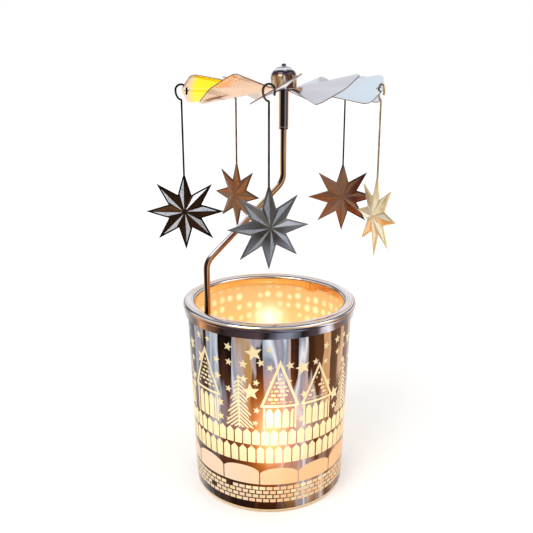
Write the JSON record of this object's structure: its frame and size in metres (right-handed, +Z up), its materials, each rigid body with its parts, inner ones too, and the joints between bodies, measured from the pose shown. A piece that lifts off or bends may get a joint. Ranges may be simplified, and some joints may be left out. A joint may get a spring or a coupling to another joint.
{
  "type": "candle carousel",
  "caption": "Silvered glass candle cup with a rolled metal rim; a bent rod from the rim carries a twisted-blade fan that the heat turns, with stars hanging from its blades.",
  "frame": {"origin": "middle of the glass cup's flat base, on the surface it stands on", "axes": "+Z up along the cup's axis, +X to the viewer's right, -Y towards the viewer of the picture"},
  "size_m": [0.097, 0.0894, 0.1763],
  "materials": {
    "silvered_glass": "mirror-plated outside with clear etched pattern",
    "chrome_ring": "polished",
    "chrome_rod": "polished",
    "fan_sheet": "polished thin sheet",
    "chrome_hub": "polished",
    "dark_steel": "riveted end",
    "star_sheet": "polished and finely etched facets",
    "aluminium_foil": "pressed foil",
    "wax": "soft wax",
    "tinplate": "tinned",
    "cotton": "charred tip"
  },
  "bodies": {
    "cup": {"glass_cup": "silvered_glass"},
    "stand": {"rim_ring": "chrome_ring", "support_arm": "chrome_rod"},
    "fan": {"fan_sheet": "fan_sheet", "hub_cap": "chrome_hub", "hub_sleeve": "chrome_hub", "pivot_bearing": "dark_steel"},
    "star_1": {"star_charm_1": "star_sheet"},
    "star_2": {"star_charm_2": "star_sheet"},
    "star_3": {"star_charm_3": "star_sheet"},
    "star_4": {"star_charm_4": "star_sheet"},
    "star_5": {"star_charm_5": "star_sheet"},
    "tealight": {"tealight_cup": "aluminium_foil", "tealight_wax": "wax", "wick_sustainer": "tinplate", "wick": "cotton"}
  },
  "joints": [
    {"name": "ring_lift", "type": "slide", "parent": "cup", "child": "stand", "axis": [0, 0, 1], "range_m": [0, 0.012]},
    {"name": "fan_spin", "type": "hinge", "parent": "stand", "child": "fan", "pos_m": [0.0055, 0.0005, 0.1668], "axis": [0, 0, 1], "continuous": true},
    {"name": "star_swing_1", "type": "hinge", "parent": "fan", "child": "star_1", "pos_m": [-0.00039, -0.03765, 0.1664], "axis": [0.3584, -0.9336, 0], "range_deg": [-40, 10]},
    {"name": "star_swing_2", "type": "hinge", "parent": "fan", "child": "star_2", "pos_m": [0.0405, -0.01679, 0.1664], "axis": [0.9511, 0.309, 0], "range_deg": [-40, 10]},
    {"name": "star_swing_3", "type": "hinge", "parent": "fan", "child": "star_3", "pos_m": [0.03276, 0.02844, 0.1664], "axis": [0, 1, 0], "range_deg": [-40, 10]},
    {"name": "star_swing_4", "type": "hinge", "parent": "fan", "child": "star_4", "pos_m": [-0.01473, 0.0346, 0.1664], "axis": [-0.7314, -0.682, 0], "range_deg": [-40, 10]},
    {"name": "star_swing_5", "type": "hinge", "parent": "fan", "child": "star_5", "pos_m": [-0.03338, -0.00732, 0.1664], "axis": [0, -1, 0], "range_deg": [-40, 10]},
    {"name": "tealight_lift", "type": "slide", "parent": "cup", "child": "tealight", "axis": [0, 0, 1], "range_m": [0, 0.076]}
  ]
}
